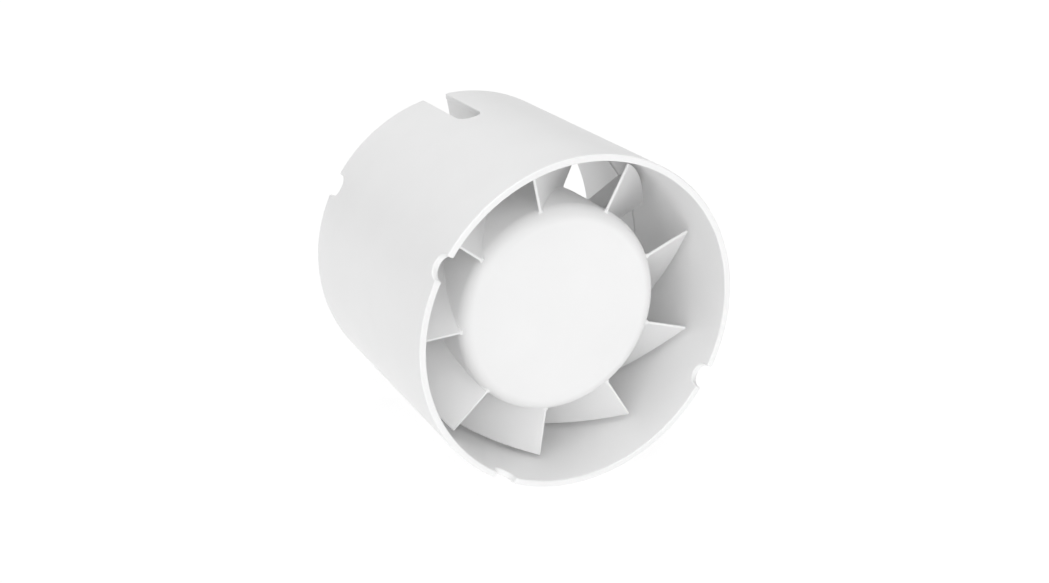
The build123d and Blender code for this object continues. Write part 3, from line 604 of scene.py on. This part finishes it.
def wall_rings(side):
    """Depth, radius and slope of each ring between the rims; side 0 is outside, 1 is the bore."""
    depths = [FRONT_RIM + d * MM for d in RING_DEPTHS]
    rear_most = REAR_RIM - SLOT_LENGTH - SLOT_CLEARANCE
    if side == 0:
        return [(depth, TUBE_RADIUS, 0.0) for depth in depths + [rear_most]]
    rings = [(depth, TUBE_BORE, 0.0) for depth in depths]
    for i in range(BEAD_STEPS + 1):
        share = i / BEAD_STEPS
        height = PARTING_BEAD * math.sin(math.pi * share) ** 2
        slope = math.sin(2 * math.pi * share) * BEAD_SLOPE
        rings.append((PARTING_DEPTH + PARTING_WIDTH * (share - 0.5), TUBE_BORE - height, slope))
    return rings + [(rear_most, TUBE_BORE, 0.0)]


def build_casing():
    """Tube wall with rounded edges right round both rims, the notches and the cable slot."""
    shape = Shape()
    seam = math.radians(SEAM_ANGLE)
    full = 2 * math.pi

    def placed(angle):
        angle = math.radians(angle)
        return angle if angle > seam else angle + full

    front = [(placed(a), NOTCH_WIDTH, FRONT_NOTCH_DEPTH) for a in NOTCH_ANGLES]
    rear = [(placed(a), NOTCH_WIDTH, REAR_NOTCH_DEPTH) for a in NOTCH_ANGLES]
    rear.append((placed(CABLE_ANGLE), SLOT_WIDTH, SLOT_LENGTH))
    lips = {end: add_lip(shape, end, rim_outline(notches)) for end, notches in ((-1, front), (1, rear))}
    ring_count = round(full / WALL_STEP)
    ring_angles = [seam + full * i / ring_count for i in range(ring_count)]
    for side, facing in ((0, 1), (1, -1)):
        rings = []
        for depth, radius, slope in wall_rings(side):
            row = []
            for angle in ring_angles:
                radial = Vector((math.sin(angle), 0, math.cos(angle)))
                normal = (radial * facing + Vector((0, -slope, 0))).normalized()
                row.append(shape.add(around(radius, angle, depth), normal))
            rings.append(row)
        flip = side == 1
        shape.zip_rows(lips[-1][side], rings[0], lips[-1][2], ring_angles, flip=flip)
        for first, second in zip(rings, rings[1:]):
            shape.strip(first, second, flip=flip)
        shape.zip_rows(lips[1][side], rings[-1], lips[1][2], ring_angles, flip=not flip)
    mesh = bpy.data.meshes.new("casing_tube")
    mesh.from_pydata([tuple(v) for v in shape.vertices], [], shape.faces)
    mesh.validate()
    mesh.shade_smooth()
    mesh.normals_split_custom_set_from_vertices([tuple(n) for n in shape.normals])
    add_piece("casing_tube", mesh, "casing", "casing_plastic", ["casing"])


# ---------------------------------------------------------------- motor cradle, one moulding with the tube

ARM_ANGLES = (59.0, 131.0, 203.0, 275.0)
ARM_THICKNESS = 2.4 * MM
ARM_FRONT = -0.5 * MM
ARM_REAR = 8.5 * MM
ARM_ROUND = 0.45 * MM
CUP_RADIUS = 29.5 * MM
CUP_WALL = 1.5 * MM
CUP_FRONT = -0.5 * MM
CUP_REAR = 31.0 * MM
CUP_FLOOR = 2.0 * MM
CUP_ROUND = 1.4 * MM
CUP_LIP = 0.3 * MM
CUP_FILLET = 0.8 * MM
CUP_SEGMENTS = 180
NOSE_HOLE = 8.0 * MM
NOSE_ROUND = 0.4 * MM
WINDOW_MIDDLE = 15.8 * MM
WINDOW_LENGTH = 8.5 * MM
WINDOW_WIDTH = 6.6 * MM
WINDOW_REACH = 5 * MM
WINDOW_STEPS = 48
TROUGH_HALF = SLOT_WIDTH / 2
TROUGH_WALL = 1.5 * MM
TROUGH_FRONT = 9.5 * MM
TROUGH_FLOOR = 1.8 * MM
TROUGH_LOW_REAR = 24.0 * MM
TROUGH_HIGH_REAR = REAR_RIM - 0.5 * MM
TROUGH_ROUND = 0.3 * MM
TROUGH_HIGH_FROM = 40.0 * MM
SINK = 0.8 * MM
BOSS_EDGE = 0.3 * MM
BOSS_SEGMENTS = 40

# Bosses: radius of the screw hole, outer radius, front end and rear end.
CLAMP_BOSS = (1.1 * MM, 2.8 * MM, TROUGH_FRONT, TROUGH_LOW_REAR)
MOTOR_BOSS = (1.5 * MM, 3.2 * MM, -2.8 * MM, 3.0 * MM)
COVER_BOSS = (1.25 * MM, 3.0 * MM, CUP_FRONT + BOSS_EDGE, CUP_REAR)
TERMINAL_POST = (1.1 * MM, 3.0 * MM, CUP_FRONT + BOSS_EDGE, 18.0 * MM)

# Where they stand: across and up, the clamp's two measured from the cable's middle plane and the axis.
CLAMP_SCREW = (7.9 * MM, 36.5 * MM)
MOTOR_SCREW = (12.3 * MM, 9.3 * MM)
COVER_SCREW = (21.5 * MM, 10.0 * MM)
POST_PLACE = (0.0, 21.5 * MM)


def cup_section():
    """Loop of the motor cup: rounded floor edge, wall, and the hole for the shaft nose."""
    inner = CUP_RADIUS - CUP_WALL
    floor = CUP_FRONT + CUP_FLOOR
    nose = NOSE_HOLE + NOSE_ROUND
    loop = arc((CUP_RADIUS - CUP_ROUND, CUP_FRONT + CUP_ROUND), CUP_ROUND, -90, 0, 2 * ROUND_STEPS)
    loop += arc((CUP_RADIUS - CUP_LIP, CUP_REAR - CUP_LIP), CUP_LIP, 0, 90, ROUND_STEPS)
    loop += arc((inner + CUP_LIP, CUP_REAR - CUP_LIP), CUP_LIP, 90, 180, ROUND_STEPS)
    loop += arc((inner - CUP_FILLET, floor + CUP_FILLET), CUP_FILLET, 0, -90, FILLET_STEPS)
    loop += arc((nose, floor - NOSE_ROUND), NOSE_ROUND, 90, 180, ROUND_STEPS)
    loop += arc((nose, CUP_FRONT + NOSE_ROUND), NOSE_ROUND, 180, 270, ROUND_STEPS)
    return loop


def window_cutter():
    """Stadium-shaped prism where the cable passes through the cup wall."""
    shells = bmesh.new()
    straight = (WINDOW_LENGTH - WINDOW_WIDTH) / 2
    rows = []
    for out in (CUP_RADIUS - WINDOW_REACH, CUP_RADIUS + WINDOW_REACH):
        row = []
        for i in range(WINDOW_STEPS):
            turn = 2 * math.pi * (i + 0.5) / WINDOW_STEPS
            along = math.sin(turn) * WINDOW_WIDTH / 2 + math.copysign(straight, math.sin(turn))
            row.append(shells.verts.new((math.cos(turn) * WINDOW_WIDTH / 2, WINDOW_MIDDLE + along, out)))
        rows.append(row)
    for i in range(WINDOW_STEPS):
        shells.faces.new((rows[0][i - 1], rows[0][i], rows[1][i], rows[1][i - 1]))
    shells.faces.new(rows[0])
    shells.faces.new(rows[1])
    bmesh.ops.rotate(shells, verts=shells.verts, matrix=TURN_TO_CABLE)
    return bpy.data.objects.new("window_cutter", smooth_mesh("window_cutter", shells))


def cup_with_window():
    """Mesh of the cup after its cable window is cut."""
    shells = bmesh.new()
    revolve(shells, cup_section(), segments=CUP_SEGMENTS)
    cup = bpy.data.objects.new("cup", smooth_mesh("cup", shells))
    cutter = window_cutter()
    for piece in (cup, cutter):
        bpy.context.scene.collection.objects.link(piece)
    cut = cup.modifiers.new("window", "BOOLEAN")
    cut.object = cutter
    cut.operation = "DIFFERENCE"
    finished = cup.evaluated_get(bpy.context.evaluated_depsgraph_get())
    mesh = bpy.data.meshes.new_from_object(finished)
    for piece in (cup, cutter):
        bpy.data.objects.remove(piece)
    return mesh


def add_trough(shells, foot, top):
    """Cable trough in one shell: a floor across its front end and two walls, taller towards the tube."""
    outer = TROUGH_HALF + TROUGH_WALL
    floor_rear = TROUGH_FRONT + TROUGH_FLOOR
    sides = (
        (-outer, TROUGH_FRONT),
        (-TROUGH_HALF, floor_rear),
        (TROUGH_HALF, floor_rear),
        (outer, TROUGH_FRONT),
    )
    rows = []
    for across, front in sides:
        outline = (
            (front, foot),
            (TROUGH_LOW_REAR, foot),
            (TROUGH_LOW_REAR, TROUGH_HIGH_FROM),
            (TROUGH_HIGH_REAR, TROUGH_HIGH_FROM),
            (TROUGH_HIGH_REAR, top),
            (front, top),
        )
        points = [TURN_TO_CABLE @ Vector((across, depth, out)) for depth, out in outline]
        rows.append([shells.verts.new(point) for point in points])
        shells.faces.new(rows[-1])
    # Corners of a row: 0 and 1 at the cup, front and rear; 2 and 3 the step; 4 and 5 at the tube.
    left, left_inner, right_inner, right = rows
    for near, far in ((left, left_inner), (right_inner, right)):
        for k in (1, 2, 3):
            shells.faces.new((near[k], near[k + 1], far[k + 1], far[k]))
    shells.faces.new((left[0], left[5], right[5], right[0]))
    shells.faces.new((left_inner[0], left_inner[5], right_inner[5], right_inner[0]))
    for end, rear in ((0, 1), (5, 4)):
        hairpin = (left[end], left[rear], left_inner[rear], left_inner[end])
        shells.faces.new(hairpin + (right_inner[end], right_inner[rear], right[rear], right[end]))
    corners = [corner for row in rows for corner in row]
    faces = {face for corner in corners for face in corner.link_faces}
    bmesh.ops.recalc_face_normals(shells, faces=list(faces))
    bevel_edges(shells, corners, TROUGH_ROUND)


def build_cradle():
    """Cup on four arms, with the cable trough and the clamp bosses beside it."""
    shells = bmesh.new()
    foot = CUP_RADIUS - SINK
    top = TUBE_BORE + SINK
    half = ARM_THICKNESS / 2
    for angle in ARM_ANGLES:
        low, high = (-half, ARM_FRONT, foot), (half, ARM_REAR, top)
        rounded_block(shells, low, high, math.radians(angle), ARM_ROUND)
    add_trough(shells, foot, top)
    for side in (-1, 1):
        across, out = CLAMP_SCREW
        middle = TURN_TO_CABLE @ Vector((side * across, 0, out))
        revolve(shells, ring_loop(*CLAMP_BOSS, BOSS_EDGE), (middle.x, middle.z), BOSS_SEGMENTS)
    for side in (-1, 1):
        across, up = MOTOR_SCREW
        revolve(shells, ring_loop(*MOTOR_BOSS, BOSS_EDGE), (side * across, side * up), BOSS_SEGMENTS)
        across, up = COVER_SCREW
        revolve(shells, ring_loop(*COVER_BOSS, BOSS_EDGE), (side * across, up), BOSS_SEGMENTS)
    revolve(shells, ring_loop(*TERMINAL_POST, BOSS_EDGE), POST_PLACE, BOSS_SEGMENTS)
    cup = cup_with_window()
    shells.from_mesh(cup)
    bpy.data.meshes.remove(cup)
    mesh = smooth_mesh("motor_cradle", shells)
    keep_flats(add_piece("motor_cradle", mesh, "casing", "casing_plastic", ["casing"]))


# ---------------------------------------------------------------- impeller

HUB_RADIUS = 31.8 * MM
HUB_FRONT = FRONT_RIM + 12 * MM
HUB_LENGTH = 25 * MM
HUB_WALL = 1.8 * MM
HUB_ROUND = 4.5 * MM
HUB_CONE = 0.6 * MM
# Plain rings on the face and the skirt, as shares of the hub's radius and length.
FACE_SHARES = (0, 0.2, 0.4, 0.6, 0.75)
SKIRT_SHARES = (0.4, 0.65, 0.9)
SKIRT_LIP = 0.4 * MM
SKIRT_INNER_LIP = 0.3 * MM
BOSS_RADIUS = 4.5 * MM
BOSS_LENGTH = 16.0 * MM
BOSS_FILLET = 1.0 * MM
BOSS_LIP = 0.3 * MM
SHAFT_SEAT = 2.01 * MM
SEAT_FRONT = 2.8 * MM
HUB_SEGMENTS = 216
BEND_STEPS = 16
INNER_BEND_STEPS = 8
LIP_STEPS = 5
HUB_RIBS = 6
RIB_HALF = 0.7 * MM
RIB_ROUND = 0.25 * MM
RIB_SINK = 0.2 * MM
RIB_OVERLAP = 0.3 * MM
# Ends of the ribs, measured from just inside the hub's floor.
RIB_START = 2.6 * MM
RIB_END = 8 * MM
BLADES = 9
FIRST_BLADE = math.radians(27.8)
LEAD_TWIST = math.radians(1.2) / MM
TWIST_GROWTH = math.radians(0.0145) / MM**2
BLADE_FRONT = FRONT_RIM + 14 * MM
BLADE_DEPTH = 24 * MM
BLADE_TIP = 46.5 * MM
LEAD_HALF = 0.42 * MM
TAIL_HALF = 0.36 * MM
BELLY = 0.16 * MM
ROOT_SINK = HUB_WALL * 0.8
ROOT_FILLET = 0.35 * MM
ROOT_STEPS = 6
TIP_ROUND = 0.25 * MM
TIP_STEPS = 4
BLADE_EDGE_STEPS = 6
CHORD_STEPS = 16
SPAN_STEPS = 8


def hub_section():
    """From the tip of the shallow cone round the skirt, then the hollow inside and the shaft boss."""
    slope = math.atan(HUB_CONE / HUB_RADIUS)
    rear = HUB_FRONT + HUB_LENGTH
    floor = HUB_FRONT + HUB_WALL
    seat = HUB_FRONT + SEAT_FRONT
    boss_rear = HUB_FRONT + BOSS_LENGTH
    bore = HUB_RADIUS - HUB_WALL
    bend = HUB_RADIUS - HUB_ROUND
    bend_depth = HUB_FRONT - HUB_CONE * HUB_ROUND / HUB_RADIUS + HUB_ROUND / math.cos(slope)
    section = [(HUB_RADIUS * share, HUB_FRONT - HUB_CONE * (1 - share)) for share in FACE_SHARES]
    section += arc((bend, bend_depth), HUB_ROUND, -90 + math.degrees(slope), 0, BEND_STEPS)
    section += [(HUB_RADIUS, HUB_FRONT + HUB_LENGTH * share) for share in SKIRT_SHARES]
    section += arc((HUB_RADIUS - SKIRT_LIP, rear - SKIRT_LIP), SKIRT_LIP, 0, 90, LIP_STEPS)
    section += arc((bore + SKIRT_INNER_LIP, rear - SKIRT_INNER_LIP), SKIRT_INNER_LIP, 90, 180, FILLET_STEPS)
    section += arc((bend, HUB_FRONT + HUB_ROUND), HUB_ROUND - HUB_WALL, 0, -90, INNER_BEND_STEPS)
    section += arc((BOSS_RADIUS + BOSS_FILLET, floor + BOSS_FILLET), BOSS_FILLET, -90, -180, FILLET_STEPS)
    section += arc((BOSS_RADIUS - BOSS_LIP, boss_rear - BOSS_LIP), BOSS_LIP, 0, 90, ROUND_STEPS)
    section += [(SHAFT_SEAT, boss_rear), (SHAFT_SEAT, seat), (0.0, seat)]
    return section


def lathe(shells, section):
    """Closed solid of revolution about the duct axis; the section starts and ends on the axis."""
    first = shells.verts.new((0, section[0][1], 0))
    last = shells.verts.new((0, section[-1][1], 0))
    turns = [2 * math.pi * i / HUB_SEGMENTS for i in range(HUB_SEGMENTS)]
    rows = []
    for radius, depth in section[1:-1]:
        rows.append([shells.verts.new(around(radius, turn, depth)) for turn in turns])
    for i in range(HUB_SEGMENTS):
        shells.faces.new((first, rows[0][i - 1], rows[0][i]))
        shells.faces.new((last, rows[-1][i], rows[-1][i - 1]))
        for near, far in zip(rows, rows[1:]):
            shells.faces.new((near[i - 1], far[i - 1], far[i], near[i]))


def blade_line(radius, depth):
    """Middle of a blade, unrolled: place round the hub and direction across the blade."""
    turn = LEAD_TWIST * depth + TWIST_GROWTH * depth**2
    slope = radius * (LEAD_TWIST + 2 * TWIST_GROWTH * depth)
    length = math.hypot(slope, 1)
    return radius * turn, (1 / length, -slope / length), length


def blade_section(radius, swell):
    """Closed loop of one blade section, unrolled to (way round, depth), grown outwards by swell."""
    stretch_lead = blade_line(radius, 0)[2]
    stretch_tail = blade_line(radius, BLADE_DEPTH)[2]
    stations = []
    for i in range(BLADE_EDGE_STEPS + 1):
        turn = math.radians(90 * i / BLADE_EDGE_STEPS)
        stations.append((LEAD_HALF * (1 - math.cos(turn)) / stretch_lead, math.sin(turn)))
    start = LEAD_HALF / stretch_lead
    stop = BLADE_DEPTH - TAIL_HALF / stretch_tail
    stations += [(start + (stop - start) * i / CHORD_STEPS, 1.0) for i in range(1, CHORD_STEPS)]
    for i in range(BLADE_EDGE_STEPS, -1, -1):
        turn = math.radians(90 * i / BLADE_EDGE_STEPS)
        stations.append((BLADE_DEPTH - TAIL_HALF * (1 - math.cos(turn)) / stretch_tail, math.sin(turn)))
    upper, lower = [], []
    for depth, fullness in stations:
        share = depth / BLADE_DEPTH
        half = LEAD_HALF + (TAIL_HALF - LEAD_HALF) * share + BELLY * math.sin(math.pi * share)
        place, across, _ = blade_line(radius, depth)
        half *= fullness
        upper.append((place + across[0] * half, depth + across[1] * half))
        lower.append((place - across[0] * half, depth - across[1] * half))
    loop = upper + lower[-2:0:-1]
    grown = []
    for i, (s, y) in enumerate(loop):
        before, after = loop[i - 1], loop[(i + 1) % len(loop)]
        length = math.hypot(after[0] - before[0], after[1] - before[1])
        out = ((after[1] - before[1]) / length, (before[0] - after[0]) / length)
        grown.append((s + out[0] * swell, y + out[1] * swell))
    return grown


def blade_stations():
    """Radius and swell of each section, from inside the hub, through the root fillet, to the soft tip."""
    stations = [(HUB_RADIUS - ROOT_SINK, ROOT_FILLET)]
    for i in range(ROOT_STEPS + 1):
        turn = math.radians(90 * i / ROOT_STEPS)
        radius = HUB_RADIUS + ROOT_FILLET * (1 - math.cos(turn))
        stations.append((radius, ROOT_FILLET * (1 - math.sin(turn))))
    start = HUB_RADIUS + ROOT_FILLET
    stop = BLADE_TIP - TIP_ROUND
    stations += [(start + (stop - start) * i / SPAN_STEPS, 0.0) for i in range(1, SPAN_STEPS + 1)]
    for i in range(1, TIP_STEPS + 1):
        turn = math.radians(90 * i / TIP_STEPS)
        stations.append((stop + TIP_ROUND * math.sin(turn), -TIP_ROUND * (1 - math.cos(turn))))
    return stations


def add_blade(shells, first_angle):
    """One twisted blade, closed at both ends with quads across its thickness."""
    rows = []
    for radius, swell in blade_stations():
        row = []
        for s, y in blade_section(radius, swell):
            depth = max(BLADE_FRONT + y, BLADE_FRONT)
            row.append(shells.verts.new(around(radius, first_angle + s / radius, depth)))
        rows.append(row)
    size = len(rows[0])
    for near, far in zip(rows, rows[1:]):
        for i in range(size):
            shells.faces.new((near[i - 1], near[i], far[i], far[i - 1]))
    for row in (rows[0], rows[-1]):
        for i in range(size // 2):
            corners = [row[i], row[(size - i) % size], row[size - i - 1], row[i + 1]]
            shells.faces.new(list(dict.fromkeys(corners)))


def build_impeller():
    """Hub, ribs inside it and blades, one moulding."""
    shells = bmesh.new()
    lathe(shells, hub_section())
    rib_front = HUB_FRONT + HUB_WALL - RIB_SINK
    low = (-RIB_HALF, rib_front + RIB_START, BOSS_RADIUS - RIB_OVERLAP)
    high = (RIB_HALF, rib_front + RIB_END, HUB_RADIUS - HUB_WALL + RIB_OVERLAP)
    for number in range(HUB_RIBS):
        angle = 2 * math.pi * (number + 0.5) / HUB_RIBS - math.pi / 2
        rounded_block(shells, low, high, angle, RIB_ROUND)
    for number in range(BLADES):
        add_blade(shells, FIRST_BLADE + 2 * math.pi * number / BLADES)
    mesh = smooth_mesh("impeller_wheel", shells)
    keep_flats(add_piece("impeller_wheel", mesh, "rotor", "impeller_plastic", ["impeller"]))


# ---------------------------------------------------------------- carried-over CAD nodes


def finish_cad_nodes():
    """Every CAD node that stays gets its slot's finish."""
    slots = {part["node"]: part["material_slot"] for part in frame["record"]["subparts"]}
    for name, node in frame["nodes"].items():
        node.data.materials.clear()
        node.data.materials.append(WOUND_NODES.get(name, MATERIALS[slots[name]]))


add_camera()
add_lights()
add_floor()
build_casing()
build_cradle()
build_impeller()
finish_cad_nodes()
